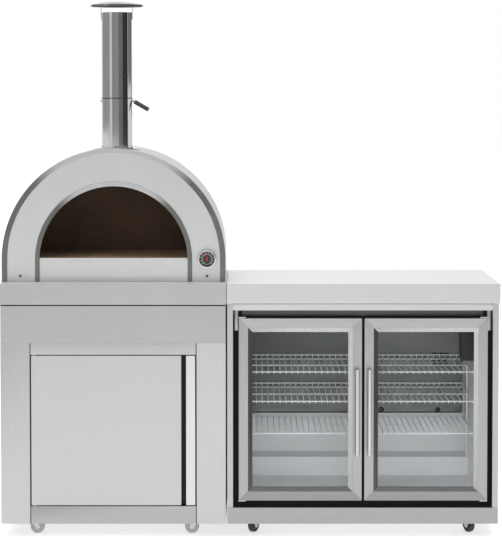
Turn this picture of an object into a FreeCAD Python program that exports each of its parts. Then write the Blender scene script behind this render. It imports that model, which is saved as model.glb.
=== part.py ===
"""Freestanding outdoor kitchen: a wood-fired oven on a cart beside a glass-door fridge module.

Millimetres. +X is to the right, +Y to the back and +Z up. The origin is on the floor, under the
middle of the whole object.
"""
import FreeCAD, Part
import os
from math import cos, radians, sin

V = FreeCAD.Vector

# Overall sizes of the two modules
cart_width = 792.0
fridge_width = 954.0
module_gap = 1.5
counter_depth = 620.0
counter_top = 890.0
cart_apron = 73.0
fridge_apron = 69.0
counter_overhang = 4.0
joint_overhang = 1.8
sheet = 1.5

# Bases, rails and casters
base_bottom = 47.0
base_rail_height = 62.0
fridge_base_height = 57.0
rail_depth = 30.0
pan_bottom = 70.0
pan_thickness = 2.0
caster_wheel_radius = 25.0
caster_wheel_width = 18.0
caster_trail = 20.0
caster_axle_radius = 4.0
caster_pin_radius = 5.0
caster_front_inset = 80.0
caster_rear_inset = 90.0
cart_caster_inset = 100.0
fridge_caster_inset = 81.0
cart_caster_turn = 0.0
fridge_caster_turn = 55.0

# Cart front
post_width = 103.0
fascia_bottom = 682.0
fascia_gap = 4.0
upper_rail_height = 40.0
cart_door_gap = 3.5
cart_door_depth = 22.0
pull_slot = 17.0
pull_strip = 32.0
pull_hem = 6.0
pivot_radius = 4.0

# Oven
dome_setback = 70.0
dome_depth = 530.0
arch_radius = 390.0
arch_leg = 78.0
trim_width = 16.0
trim_proud = 3.0
mouth_radius = 260.0
sill_height = 86.0
base_pan_rim = 2.0
vault_radius = 300.0
vault_wall = 3.0
vault_back_room = 45.0
hearth_drop = 6.0
tile_thickness = 30.0
tile_rows = 2
tile_columns = 3
tile_joint = 1.0
dial_radius = 32.5
dial_offset_x = 328.0
dial_offset_z = 4.0
dial_depth = 14.0

# Flue
pipe_radius = 55.0
pipe_wall = 1.5
flue_setback = 230.0
pipe_top = 1843.0
cap_radius = 95.0
cap_height = 1882.0
cap_rise = 12.0
cap_lip = 6.0
damper_height = 1526.0
damper_rod_radius = 4.0
grip_radius = 7.5
grip_length = 58.0
grip_angle = 30.0

# Fridge module
fridge_post = 20.5
fridge_top_strip = 21.0
plinth_height = 50.0
case_wall = 46.0
case_front = 52.0
case_depth = 523.0
liner_wall = 1.5
liner_floor = 150.0
step_setback = 400.0
step_height = 68.0
mullion_width = 69.0
mullion_depth = 40.0
evaporator_depth = 32.0
evaporator_bottom = 362.0
shelf_levels = (350.0, 464.0, 569.0)
shelf_front_room = 6.0
shelf_back_room = 7.5
shelf_wires = 19
shelf_wire_radius = 1.6
shelf_wire_bend = 5.0
shelf_front_drop = 9.0
shelf_strip_half = 2.0
shelf_weld_share = 0.7
shelf_side_radius = 2.8
shelf_back_rail = 18.0
standard_width = 14.0
fan_radius = 45.0
fan_blades = 5

# Glass doors
door_width = 430.0
door_height = 640.0
door_bottom = 129.0
door_depth = 40.0
door_gap = 9.0
frame_face = 32.0
frame_lip = 4.0
glass_groove = 20.0
pane_thickness = 4.0
spacer_thickness = 12.0
spacer_face = 26.0
gasket_inset = 12.5
gasket_width = 15.5
hinge_inset = 12.0
hinge_setback = 20.0
handle_radius = 7.0
handle_length = 302.0
handle_standoff = 32.0
handle_inset = 17.0
handle_post_inset = 26.0

# Clearances
running_fit = 0.05
seat_gap = 0.3
loose_fit = 0.2

# Places worked out from the sizes above
handle_proud = handle_standoff + handle_radius - counter_overhang
front = handle_proud - (counter_depth + handle_proud) / 2
back = front + counter_depth
body_front = front + counter_overhang
body_back = back - counter_overhang
cart_left = -(cart_width + module_gap + fridge_width) / 2
cart_right = cart_left + cart_width
fridge_left = cart_right + module_gap
fridge_right = fridge_left + fridge_width
counter_under = counter_top - sheet
base_top = base_bottom + base_rail_height
fridge_base_top = base_bottom + fridge_base_height
pan_top = pan_bottom + pan_thickness
pan_front = body_front + rail_depth
oven_x = (cart_left + cart_right) / 2
dome_front = front + dome_setback
dome_back = dome_front + dome_depth
oven_floor = counter_top + base_pan_rim
arch_z = counter_top + arch_leg
sill_top = counter_top + sill_height
hearth_top = sill_top - hearth_drop
board_top = hearth_top - tile_thickness
flue_y = dome_front + flue_setback


def box(x0, x1, y0, y1, z0, z1):
    return Part.makeBox(x1 - x0, y1 - y0, z1 - z0, V(x0, y0, z0))


def rod(radius, start, end):
    along = end - start
    return Part.makeCylinder(radius, along.Length, start, along)


def fused(shapes):
    return shapes[0].multiFuse(shapes[1:]).removeSplitter()


def prism(points, along):
    face = Part.Face(Part.makePolygon(points + points[:1]))
    return face.extrude(along)


def ring(x0, x1, y0, y1, z0, z1, width):
    inner = box(x0 + width, x1 - width, y0 - 1, y1 + 1, z0 + width, z1 - width)
    return box(x0, x1, y0, y1, z0, z1).cut(inner)


def save(node, shapes):
    shape = shapes[0] if len(shapes) == 1 else Part.makeCompound(shapes)
    if not shape.isValid():
        raise ValueError("bad solid in " + node)
    shape.exportStep("parts/" + node + ".step")
    print(node, len(shape.Solids), round(shape.Volume))


# Casters: top plate with a kingpin, fork with its axle, and wheel
caster_plate_thickness = 3.0
caster_plate_size = (56.0, 50.0)
fork_disc_radius = 18.0
fork_top = pan_bottom - 4.0
fork_disc_thickness = 5.0
fork_wall = 3.0
fork_half_gap = caster_wheel_width / 2 + 1.5
fork_eye_radius = 9.0


def placed(shape, x, y, turn):
    shape = shape.copy()
    shape.rotate(V(0, 0, 0), V(0, 0, 1), turn)
    shape.translate(V(x, y, 0))
    return shape


def caster_plate():
    long, wide = caster_plate_size
    return box(-long / 2, long / 2, -wide / 2, wide / 2, pan_bottom - caster_plate_thickness, pan_bottom)


def fork_legs(top, trail):
    half = fork_disc_radius - 4
    eye = caster_wheel_radius
    legs = []
    for y in (-fork_half_gap - fork_wall, fork_half_gap):
        outline = [(-half, top), (half, top), (trail + fork_eye_radius, eye), (trail - fork_eye_radius, eye)]
        leg = prism([V(u, y, z) for u, z in outline], V(0, fork_wall, 0))
        legs.append(leg.fuse(rod(fork_eye_radius, V(trail, y, eye), V(trail, y + fork_wall, eye))))
    reach = fork_half_gap + fork_wall + 1.5
    legs.append(rod(caster_axle_radius, V(trail, -reach, eye), V(trail, reach, eye)))
    return legs


def swivel_mount():
    pin = rod(caster_pin_radius, V(0, 0, fork_top - fork_disc_thickness), V(0, 0, pan_bottom))
    return fused([caster_plate(), pin])


def swivel_fork():
    disc_bottom = fork_top - fork_disc_thickness
    disc = rod(fork_disc_radius, V(0, 0, disc_bottom), V(0, 0, fork_top))
    fork = fused([disc] + fork_legs(disc_bottom, caster_trail))
    return fork.cut(rod(caster_pin_radius + running_fit, V(0, 0, disc_bottom - 1), V(0, 0, fork_top + 1)))


def rigid_fork():
    return fused([caster_plate()] + fork_legs(pan_bottom - caster_plate_thickness, 0))


def caster_wheel(trail):
    half = caster_wheel_width / 2
    eye = caster_wheel_radius
    radius = caster_wheel_radius
    crown = 3.0
    hub_radius = 9.0
    web = 3.0
    tread = 18.0
    outline = [(0, -half), (hub_radius, -half), (hub_radius + 1, -half + web), (tread, -half + web),
               (tread + 1, -half), (radius - crown, -half), (radius, -half + crown),
               (radius, half - crown), (radius - crown, half), (tread + 1, half), (tread, half - web),
               (hub_radius + 1, half - web), (hub_radius, half), (0, half)]
    face = Part.Face(Part.makePolygon([V(r, y, 0) for r, y in outline + outline[:1]]))
    wheel = face.revolve(V(0, 0, 0), V(0, 1, 0), 360)
    wheel = wheel.cut(rod(caster_axle_radius + running_fit, V(0, -half - 1, 0), V(0, half + 1, 0)))
    wheel.translate(V(trail, 0, eye))
    return wheel


cart_body = (cart_left + counter_overhang, cart_right - joint_overhang)
fridge_body = (fridge_left + joint_overhang, fridge_right - counter_overhang)
caster_places = []
for module, body, inset, turn in (("cart", cart_body, cart_caster_inset, cart_caster_turn),
                                  ("fridge", fridge_body, fridge_caster_inset, fridge_caster_turn)):
    caster_places.append((module + "_left", body[0] + inset, turn))
    caster_places.append((module + "_right", body[1] - inset, 180 - turn))
front_caster_y = body_front + caster_front_inset
rear_caster_y = body_back - caster_rear_inset


def make_casters():
    mounts = []
    for place, x, turn in caster_places:
        mounts.append(placed(swivel_mount(), x, front_caster_y, 0))
        mounts.append(placed(rigid_fork(), x, rear_caster_y, 90))
        save("caster_fork_" + place, [placed(swivel_fork(), x, front_caster_y, turn)])
        save("caster_wheel_front_" + place, [placed(caster_wheel(caster_trail), x, front_caster_y, turn)])
        save("caster_wheel_rear_" + place, [placed(caster_wheel(0), x, rear_caster_y, 90)])
    save("caster_mounts", mounts)


# Sheet metal that both modules share in form
def floor_pan(body):
    return box(body[0] + sheet, body[1] - sheet, pan_front, body_back - sheet, pan_bottom, pan_top)


def counter(x0, x1, apron):
    outer = box(x0, x1, front, back, counter_top - apron, counter_top)
    hollow = box(x0 + sheet, x1 - sheet, front + sheet, back - sheet, counter_top - apron - 1, counter_under)
    return outer.cut(hollow)


def wrapper(body, side_front):
    outer = box(body[0], body[1], side_front, body_back, base_bottom, counter_under)
    hollow = box(body[0] + sheet, body[1] - sheet, side_front - 1, body_back - sheet,
                 base_bottom - 1, counter_under + 1)
    return outer.cut(hollow)


def channel(x0, x1, z0, z1):
    outer = box(x0, x1, body_front, body_front + rail_depth, z0, z1)
    hollow = box(x0 - 1, x1 + 1, body_front + sheet, body_front + rail_depth + 1, z0 + sheet, z1 - sheet)
    return outer.cut(hollow)


# Cart: folded posts, rails, door on two pivot pins, recessed pull
upper_rail_bottom = fascia_bottom - upper_rail_height
cart_door_left = cart_body[0] + post_width + cart_door_gap
cart_door_right = cart_body[1] - post_width - cart_door_gap
cart_door_bottom = base_top + cart_door_gap
cart_door_top = upper_rail_bottom - cart_door_gap
cart_door_back = body_front + cart_door_depth
cart_skin_right = cart_door_right - pull_strip - pull_slot
cart_pivot_x = cart_door_left + 10.0
cart_pivot_y = body_front + 8.0
pivot_engagement = 14.0
collar_radius = 7.0
collar_gap = 1.0
hinge_block = 18.0


def cart_posts():
    posts = []
    left, right = cart_body
    for outer, inner in ((left, left + post_width), (right, right - post_width)):
        x0, x1 = sorted((outer, inner))
        r0, r1 = sorted((inner, inner + (sheet if inner < outer else -sheet)))
        face = box(x0, x1, body_front, body_front + sheet, base_bottom, fascia_bottom)
        turned_back = box(r0, r1, body_front, body_front + rail_depth, base_bottom, fascia_bottom)
        posts.append(fused([face, turned_back]))
    return posts


def cart_rails():
    x0 = cart_body[0] + post_width
    x1 = cart_body[1] - post_width
    rails = []
    for z0, z1, pin_z in ((base_bottom, base_top, base_top),
                          (upper_rail_bottom, fascia_bottom, upper_rail_bottom)):
        hole = rod(pivot_radius + loose_fit, V(cart_pivot_x, cart_pivot_y, pin_z - 5),
                   V(cart_pivot_x, cart_pivot_y, pin_z + 5))
        rails.append(channel(x0, x1, z0, z1).cut(hole))
    return rails


def cart_fascia():
    x0, x1 = cart_body
    top = counter_top - cart_apron - fascia_gap
    pieces = [box(x0, x1, body_front, body_front + sheet, fascia_bottom, top)]
    for z in (fascia_bottom, top - sheet):
        pieces.append(box(x0 + sheet, x1 - sheet, body_front, body_front + rail_depth, z, z + sheet))
    return fused(pieces)


def cart_door():
    outer = box(cart_door_left, cart_skin_right, body_front, cart_door_back, cart_door_bottom, cart_door_top)
    hollow = box(cart_door_left + sheet, cart_skin_right - sheet, body_front + sheet, cart_door_back + 1,
                 cart_door_bottom + sheet, cart_door_top - sheet)
    blocks = []
    pins = []
    for z, inward in ((cart_door_bottom, 1), (cart_door_top, -1)):
        z0, z1 = sorted((z, z + inward * hinge_block))
        blocks.append(box(cart_door_left, cart_door_left + hinge_block,
                          body_front, body_front + hinge_block, z0, z1))
        pins.append(rod(pivot_radius + running_fit, V(cart_pivot_x, cart_pivot_y, z - inward),
                        V(cart_pivot_x, cart_pivot_y, z + inward * (hinge_block + 1))))
    return fused([outer.cut(hollow)] + blocks).cut(Part.makeCompound(pins))


def cart_door_pull():
    x0 = cart_skin_right
    x1 = cart_door_right
    lip = x1 - pull_strip
    y0 = body_front
    y1 = cart_door_back
    outline = [(x0, y1 - sheet), (x1 - sheet, y1 - sheet), (x1 - sheet, y0 + sheet),
               (lip + sheet, y0 + sheet), (lip + sheet, y0 + pull_hem), (lip, y0 + pull_hem),
               (lip, y0), (x1, y0), (x1, y1), (x0, y1)]
    height = cart_door_top - cart_door_bottom
    return prism([V(x, y, cart_door_bottom) for x, y in outline], V(0, 0, height))


def cart_door_hardware():
    pieces = []
    for rail, inward in ((base_top, 1), (upper_rail_bottom, -1)):
        axis = [V(cart_pivot_x, cart_pivot_y, rail + inward * z)
                for z in (-sheet, 0, cart_door_gap - collar_gap)]
        tip = V(cart_pivot_x, cart_pivot_y, rail + inward * (cart_door_gap + pivot_engagement))
        pieces.append(fused([rod(pivot_radius, axis[0], tip), rod(collar_radius, axis[1], axis[2])]))
    catch_y = cart_door_back + seat_gap
    pieces.append(box(cart_skin_right - 60, cart_skin_right - 20, catch_y, catch_y + 14,
                      upper_rail_bottom - 14, upper_rail_bottom))
    return pieces


def make_cart():
    save("cart_wrapper", [wrapper(cart_body, body_front + sheet)])
    save("cart_face_frame", cart_posts() + cart_rails())
    save("cart_fascia", [cart_fascia()])
    save("cart_counter", [counter(cart_left, cart_right, cart_apron)])
    save("cart_door", [cart_door()])
    save("cart_door_pull", [cart_door_pull()])
    save("cart_door_hardware", cart_door_hardware())


# Oven: arched shells around a vault, with a face panel, trims and a sill
face_back = dome_front + sheet
sill_back = face_back + sheet
shell_back = dome_back
vault_back = dome_back - vault_back_room
pipe_fit = pipe_radius + seat_gap
pipe_bottom = arch_z + (vault_radius**2 - pipe_radius**2) ** 0.5
collar_radius_flue = 86.0
collar_thickness = 3.0
collar_sleeve = 8.0
sleeve_wall = 2.0
stem_radius = 4.0
stem_length = 60.0
dial_x = oven_x + dial_offset_x
dial_z = arch_z + dial_offset_z


def arch(radius, foot, y0, y1):
    left = V(oven_x - radius, y0, foot)
    spring_left = V(oven_x - radius, y0, arch_z)
    crown = V(oven_x, y0, arch_z + radius)
    spring_right = V(oven_x + radius, y0, arch_z)
    right = V(oven_x + radius, y0, foot)
    curves = [Part.LineSegment(left, spring_left), Part.Arc(spring_left, crown, spring_right),
              Part.LineSegment(spring_right, right), Part.LineSegment(right, left)]
    outline = Part.Wire([curve.toShape() for curve in curves])
    return Part.Face(outline).extrude(V(0, y1 - y0, 0))


def arch_band(outer, inner, foot, y0, y1):
    return arch(outer, foot, y0, y1).cut(arch(inner, foot - 1, y0 - 1, y1 + 1))


def upright_rod(radius, z0, z1):
    return rod(radius, V(oven_x, flue_y, z0), V(oven_x, flue_y, z1))


def flue_hole():
    return upright_rod(pipe_fit, arch_z + vault_radius / 2, arch_z + 2 * arch_radius)


def stem(radius):
    return rod(radius, V(dial_x, dome_front - 1, dial_z), V(dial_x, dome_front + stem_length, dial_z))


def oven_base_pan():
    edge = arch_radius + trim_proud
    return box(oven_x - edge, oven_x + edge, dome_front - 2 * trim_proud, dome_back, counter_top, oven_floor)


def hearth_tiles():
    joint = tile_joint
    wide = (2 * (vault_radius - joint) + joint) / tile_columns
    deep = (vault_back - vault_wall - sill_back - joint) / tile_rows
    tiles = []
    for column in range(tile_columns):
        for row in range(tile_rows):
            x0 = oven_x - vault_radius + joint + column * wide
            y0 = sill_back + joint + row * deep
            tiles.append(box(x0, x0 + wide - joint, y0, y0 + deep - joint, board_top, hearth_top))
    return tiles


def inner_dome():
    shell = arch(vault_radius + vault_wall, board_top, face_back, vault_back)
    hollow = arch(vault_radius, board_top - 1, face_back - 1, vault_back - vault_wall)
    return shell.cut(hollow).cut(flue_hole())


def dome_insulation():
    outer = arch(arch_radius - sheet, oven_floor, face_back, shell_back - sheet)
    chamber = arch(vault_radius + vault_wall, board_top, face_back - 1, vault_back)
    edge = vault_radius + vault_wall
    bed = box(oven_x - edge, oven_x + edge, face_back - 1, vault_back, oven_floor - 1, board_top)
    blanket = outer.cut(chamber).cut(bed).cut(flue_hole()).cut(stem(stem_radius + seat_gap))
    board = box(oven_x - edge, oven_x + edge, sill_back, vault_back, oven_floor, board_top)
    return [blanket, board]


def outer_shell():
    shell = arch(arch_radius, oven_floor, face_back, shell_back)
    hollow = arch(arch_radius - sheet, oven_floor - 1, face_back - 1, shell_back - sheet)
    return shell.cut(hollow).cut(flue_hole())


def oven_front_panel():
    panel = arch_band(arch_radius, mouth_radius + trim_width / 2, oven_floor, dome_front, face_back)
    return panel.cut(stem(stem_radius + seat_gap))


def arch_trims():
    proud = dome_front - trim_proud
    edge = arch_radius + trim_proud
    rim = arch_band(edge, arch_radius + loose_fit, oven_floor, dome_front, dome_front + 8 * trim_proud)
    outer = arch_band(edge, arch_radius - trim_width, oven_floor, proud, dome_front)
    mouth = arch_band(mouth_radius + trim_width, mouth_radius, oven_floor, proud, dome_front)
    return [fused([outer, rim]), mouth]


def mouth_sill():
    edge = mouth_radius + trim_width + 8
    plate = box(oven_x - edge, oven_x + edge, face_back, sill_back, oven_floor, hearth_top)
    lip_edge = mouth_radius - seat_gap
    lip = box(oven_x - lip_edge, oven_x + lip_edge, dome_front, sill_back, hearth_top, sill_top)
    return fused([plate, lip])


# Thermometer: case with dial and stem, lens, needle on a small staff
bezel_wall = 4.0
bezel_edge = 3.0
lens_ledge = 1.5
needle_staff = 1.5
staff_depth = 3.5
needle_clear = 1.2
needle_thickness = 1.3
needle_hub = 3.0
needle_tail = 7.0
needle_half = (1.6, 0.5)
lens_thickness = 2.0
dial_floor = dome_front - 6.0
lens_seat = dome_front - dial_depth + lens_thickness + 0.5


def on_dial(radius, y0, y1):
    return rod(radius, V(dial_x, y0, dial_z), V(dial_x, y1, dial_z))


def thermometer_case():
    body = on_dial(dial_radius, dome_front - dial_depth, dome_front)
    rim = dome_front - dial_depth
    rim_edges = [e for e in body.Edges if len(e.Vertexes) == 1 and abs(e.CenterOfMass.y - rim) < 0.01]
    body = body.makeFillet(bezel_edge, rim_edges)
    body = body.cut(on_dial(dial_radius - bezel_wall, rim - 1, lens_seat))
    body = body.cut(on_dial(dial_radius - bezel_wall - lens_ledge, lens_seat - 1, dial_floor))
    body = fused([body, stem(stem_radius)])
    return body.cut(on_dial(needle_staff + running_fit, dial_floor - 1, dial_floor + staff_depth + 0.5))


def thermometer_lens():
    return on_dial(dial_radius - bezel_wall - loose_fit, lens_seat - lens_thickness, lens_seat)


def thermometer_needle():
    y1 = dial_floor - needle_clear
    y0 = y1 - needle_thickness
    tip = dial_z + dial_radius - 11.0
    tail = dial_z - needle_tail
    wide, narrow = needle_half
    outline = [(dial_x - wide, tail), (dial_x + wide, tail), (dial_x + narrow, tip), (dial_x - narrow, tip)]
    blade = prism([V(x, y0, z) for x, z in outline], V(0, needle_thickness, 0))
    hub = on_dial(needle_hub, y0 - 0.5, y1)
    return fused([blade, hub, on_dial(needle_staff, y1, dial_floor + staff_depth)])


# Flue: saddle collar, pipe, rain cap on straps, butterfly damper with a cranked rod
grip_bend = pipe_radius + 3.0
grip_start = 6.0
tail_length = grip_length - 10.0
grip_edge = 1.5


def flue_collar():
    seat = arch_radius + loose_fit
    y0 = flue_y - 2 * collar_radius_flue
    y1 = flue_y + 2 * collar_radius_flue
    saddle = arch_band(seat + collar_thickness, seat, oven_floor, y0, y1)
    disc = upright_rod(collar_radius_flue, arch_z + vault_radius, pipe_top)
    crown = arch_z + arch_radius
    sleeve = upright_rod(pipe_fit + sleeve_wall, arch_z + vault_radius, crown + collar_sleeve)
    sleeve = sleeve.cut(arch(seat, oven_floor, y0, y1))
    return fused([saddle.common(disc), sleeve]).cut(flue_hole())


def damper_rod(radius):
    reach = pipe_radius + 4.0
    return rod(radius, V(oven_x - reach, flue_y, damper_height), V(oven_x + grip_bend, flue_y, damper_height))


def chimney_pipe():
    pipe = upright_rod(pipe_radius, pipe_bottom, pipe_top)
    bore = upright_rod(pipe_radius - pipe_wall, pipe_bottom - 1, pipe_top + 1)
    return pipe.cut(bore).cut(damper_rod(damper_rod_radius + running_fit))


def chimney_cap():
    shell = 2.0
    strap_width = 12.0
    strap_lap = 25.0
    arc_radius = (cap_radius**2 + cap_rise**2) / (2 * cap_rise)
    arc_centre = cap_height - arc_radius
    rim_bottom = cap_height - cap_rise - cap_lip

    def dome(offset, reach):
        radius = arc_radius - offset
        return V(reach, 0, arc_centre + (radius**2 - reach**2) ** 0.5)

    def arc(offset, reach):
        return Part.Arc(dome(offset, 0), dome(offset, reach / 2), dome(offset, reach)).toShape()

    inside = cap_radius - shell
    corners = [dome(0, cap_radius), V(cap_radius, 0, rim_bottom),
               V(inside, 0, rim_bottom), dome(shell, inside)]
    edges = [arc(0, cap_radius), Part.makePolygon(corners), arc(shell, inside),
             Part.makeLine(dome(shell, 0), dome(0, 0))]
    profile = Part.Face(Part.Wire(Part.__sortEdges__([e for piece in edges for e in piece.Edges])))
    lid = placed(profile.revolve(V(0, 0, 0), V(0, 0, 1), 360), oven_x, flue_y, 0)
    strap_x = pipe_radius + loose_fit
    strap_top = dome(shell / 2, strap_x).z
    straps = []
    for turn in (0, 180):
        strap = box(strap_x, strap_x + sheet, -strap_width / 2, strap_width / 2,
                    pipe_top - strap_lap, strap_top)
        straps.append(placed(strap, oven_x, flue_y, turn))
    return fused([lid] + straps)


def along_grip(distance):
    turn = radians(grip_angle)
    return V(oven_x + grip_bend + distance * cos(turn), flue_y, damper_height - distance * sin(turn))


def damper_flap():
    plate_radius = pipe_radius - pipe_wall - 2.0
    half = 1.0
    plate = rod(plate_radius, V(oven_x, flue_y - half, damper_height),
                V(oven_x, flue_y + half, damper_height))
    elbow = Part.makeSphere(damper_rod_radius, along_grip(0))
    tail = rod(damper_rod_radius, along_grip(0), along_grip(tail_length))
    return fused([plate, damper_rod(damper_rod_radius), elbow, tail])


def damper_grip():
    grip = rod(grip_radius, along_grip(grip_start), along_grip(grip_start + grip_length))
    grip = grip.makeFillet(grip_edge, [edge for edge in grip.Edges if len(edge.Vertexes) == 1])
    bore = rod(damper_rod_radius + running_fit, along_grip(0), along_grip(tail_length + running_fit))
    return grip.cut(bore)


def make_oven():
    save("oven_base_pan", [oven_base_pan()])
    save("hearth_tiles", hearth_tiles())
    save("inner_dome", [inner_dome()])
    save("dome_insulation", dome_insulation())
    save("outer_shell", [outer_shell()])
    save("oven_front_panel", [oven_front_panel()])
    save("arch_trims", arch_trims())
    save("mouth_sill", [mouth_sill()])
    save("thermometer_case", [thermometer_case()])
    save("thermometer_lens", [thermometer_lens()])
    save("thermometer_needle", [thermometer_needle()])
    save("flue_collar", [flue_collar()])
    save("chimney_pipe", [chimney_pipe()])
    save("chimney_cap", [chimney_cap()])
    save("damper_flap", [damper_flap()])
    save("damper_grip", [damper_grip()])


# Fridge module: folded cabinet, foam-filled case, liner with a step over the machine bay
fridge_x = (fridge_left + fridge_right) / 2
opening = (fridge_body[0] + fridge_post, fridge_body[1] - fridge_post)
case_x = (opening[0] + 0.5, opening[1] - 0.5)
case_y0 = front + case_front
case_y1 = case_y0 + case_depth
plinth_top = pan_top + plinth_height
case_top = counter_top - fridge_apron - fridge_top_strip - 3.0
strip_bottom = case_top + seat_gap
liner_x = (case_x[0] + case_wall, case_x[1] - case_wall)
liner_back = case_y1 - case_wall + 4.0
liner_top = case_top - case_wall
step_y = front + step_setback
step_top = liner_floor + step_height
bay_roof = step_top - 25.0
bay_front = step_y + 25.0
cover_front = liner_back - liner_wall - evaporator_depth
fan_x = liner_x[1] - 95.0
fan_z = 565.0
joint_boss_radius = 12.0


def joint_bosses():
    reach = 2 * joint_overhang + module_gap - seat_gap
    x = fridge_body[0]
    places = [(y, z) for y in (body_front + 150, body_back - 150) for z in (base_top + 60, fascia_bottom)]
    return [rod(joint_boss_radius, V(x - reach, y, z), V(x + sheet, y, z)) for y, z in places]


def fridge_wrapper():
    pieces = [wrapper(fridge_body, body_front)] + joint_bosses()
    for edge, inner in ((fridge_body[0], opening[0]), (fridge_body[1], opening[1])):
        x0, x1 = sorted((edge, inner))
        r0, r1 = sorted((inner, inner + (sheet if inner < edge else -sheet)))
        pieces.append(box(x0, x1, body_front, body_front + sheet, fridge_base_top, counter_under))
        pieces.append(box(r0, r1, body_front, case_y0 - seat_gap, fridge_base_top, counter_under))
    notch = box(fridge_body[0] - 1, fridge_body[1] + 1, body_front - 1, body_front + sheet,
                0, fridge_base_top)
    gland = through_back(gland_radius + loose_fit)
    return fused(pieces).cut(notch).cut(gland)


def fridge_rails():
    x0, x1 = fridge_body
    base_face = box(x0, x1, body_front, body_front + sheet, base_bottom, fridge_base_top)
    base_fold = box(opening[0], opening[1], body_front, case_y0 - seat_gap,
                    fridge_base_top - sheet, fridge_base_top)
    strip_top = counter_top - fridge_apron - 1.5
    strip_face = box(opening[0], opening[1], body_front, body_front + sheet, strip_bottom, strip_top)
    strip_fold = box(opening[0], opening[1], body_front, case_y0 - seat_gap,
                     strip_bottom, strip_bottom + sheet)
    return [fused([base_face, base_fold]), fused([strip_face, strip_fold])]


def fridge_plinth():
    outer = box(case_x[0], case_x[1], case_y0, case_y1, pan_top, plinth_top)
    hollow = box(case_x[0] + 12, case_x[1] - 12, case_y0 + 12, case_y1 + 1, pan_top - 1, plinth_top + 1)
    return outer.cut(hollow)


def liner_outline(grow):
    outline = [(case_y0, liner_floor), (step_y, liner_floor), (step_y, step_top), (liner_back, step_top),
               (liner_back, liner_top), (case_y0, liner_top)]
    shift = [(0, -1), (1, -1), (1, -1), (1, -1), (1, 1), (0, 1)]
    return [(y + grow * dy, z + grow * dz) for (y, z), (dy, dz) in zip(outline, shift)]


def liner_block(grow, run_out):
    points = [(y - (run_out if i in (0, 5) else 0), z) for i, (y, z) in enumerate(liner_outline(grow))]
    x0 = liner_x[0] - grow
    width = liner_x[1] - liner_x[0] + 2 * grow
    return prism([V(x0, y, z) for y, z in points], V(width, 0, 0))


def mullion():
    return box(fridge_x - mullion_width / 2, fridge_x + mullion_width / 2, case_y0, case_y0 + mullion_depth,
               liner_floor - liner_wall, liner_top + liner_wall)


def fridge_case():
    x0, x1 = liner_x[0] - liner_wall, liner_x[1] + liner_wall
    floor_top = liner_floor - liner_wall
    riser_front = step_y + liner_wall
    step_under = step_top - liner_wall
    back = liner_back + liner_wall
    roof = liner_top + liner_wall
    return [box(case_x[0], x0, case_y0, case_y1, plinth_top, case_top),
            box(x1, case_x[1], case_y0, case_y1, plinth_top, case_top),
            box(x0, x1, case_y0, case_y1, roof, case_top),
            box(x0, x1, case_y0, bay_front, plinth_top, floor_top),
            box(x0, x1, riser_front, bay_front, floor_top, bay_roof),
            box(x0, x1, riser_front, case_y1, bay_roof, step_under),
            box(x0, x1, back, case_y1, step_under, roof),
            mullion()]


def fridge_liner():
    skin = liner_block(liner_wall, 0).cut(liner_block(0, 1)).cut(mullion())
    return skin


# Cold side: cover with a grille and a return slot, coil, fan and motor
cover_x = (liner_x[0] + 12.0, liner_x[1] - 12.0)
cover_top = liner_top - 6.0
fan_y = cover_front + 13.0
motor_front = fan_y + 7.0
fan_staff = 3.0
staff_grip = 8.0
fan_hub = 12.0
blade_half = 11.0
blade_pitch = 24.0
motor_radius = 22.0
air_slot = 8.0
air_slot_inset = 35.0
vent_pitch = 20.0
vent_half = (7.0, 6.0)
coil_drop = 80.0
coil_rise = 60.0


def evaporator_cover():
    outer = box(cover_x[0], cover_x[1], cover_front, liner_back, evaporator_bottom, cover_top)
    hollow = box(cover_x[0] + sheet, cover_x[1] - sheet, cover_front + sheet, liner_back + 1,
                 evaporator_bottom + sheet, cover_top - sheet)
    slot_low = evaporator_bottom + air_slot
    slots = [box(x0, x1, cover_front - 1, cover_front + sheet + 1, slot_low, slot_low + air_slot)
             for x0, x1 in ((cover_x[0] + air_slot_inset, fridge_x - air_slot_inset),
                            (fridge_x + air_slot_inset, cover_x[1] - air_slot_inset))]
    for column in range(-1, 2):
        for row in range(-1, 2):
            x = fan_x + column * vent_pitch
            z = fan_z + row * vent_pitch
            slots.append(box(x - vent_half[0], x + vent_half[0], cover_front - 1, cover_front + sheet + 1,
                             z - vent_half[1], z + vent_half[1]))
    cover = outer.cut(hollow).cut(Part.makeCompound(slots))
    coil = box(cover_x[0] + 20, fan_x - fan_radius - 30, cover_front + 8, liner_back,
               fan_z - coil_drop, fan_z + coil_rise)
    return [cover, coil]


def fan_motor():
    can = rod(motor_radius, V(fan_x, motor_front, fan_z), V(fan_x, liner_back, fan_z))
    return can.cut(rod(fan_staff + running_fit, V(fan_x, motor_front - 1, fan_z),
                       V(fan_x, motor_front + staff_grip + 1, fan_z)))


def evaporator_fan():
    hub = rod(fan_hub, V(fan_x, fan_y - 6, fan_z), V(fan_x, fan_y + 4, fan_z))
    staff = rod(fan_staff, V(fan_x, fan_y + 3, fan_z), V(fan_x, motor_front + staff_grip, fan_z))
    blades = []
    for number in range(fan_blades):
        blade = box(fan_x + fan_hub - 4, fan_x + fan_radius, fan_y - 1, fan_y + 1,
                    fan_z - blade_half, fan_z + blade_half)
        blade.rotate(V(fan_x, fan_y, fan_z), V(1, 0, 0), blade_pitch)
        blade.rotate(V(fan_x, fan_y, fan_z), V(0, 1, 0), 360 / fan_blades * number)
        blades.append(blade)
    return fused([hub, staff] + blades)


# Warm side: compressor and condenser on the floor pan, gland for the lead
gland_radius = 9.0
gland_x = fridge_body[1] - 90.0
gland_z = pan_top + 70.0
gland_flange = 4.0
gland_depth = 9.0
cord_radius = 4.2
compressor_radius = 52.0
compressor_height = 84.0
compressor_crown = 20.0
compressor_offset = 180.0
foot_half = (80.0, 45.0)
condenser_size = (330.0, 50.0, 95.0)
condenser_offset = 300.0
condenser_pitch = 20.0
condenser_rim = 8.0


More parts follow.
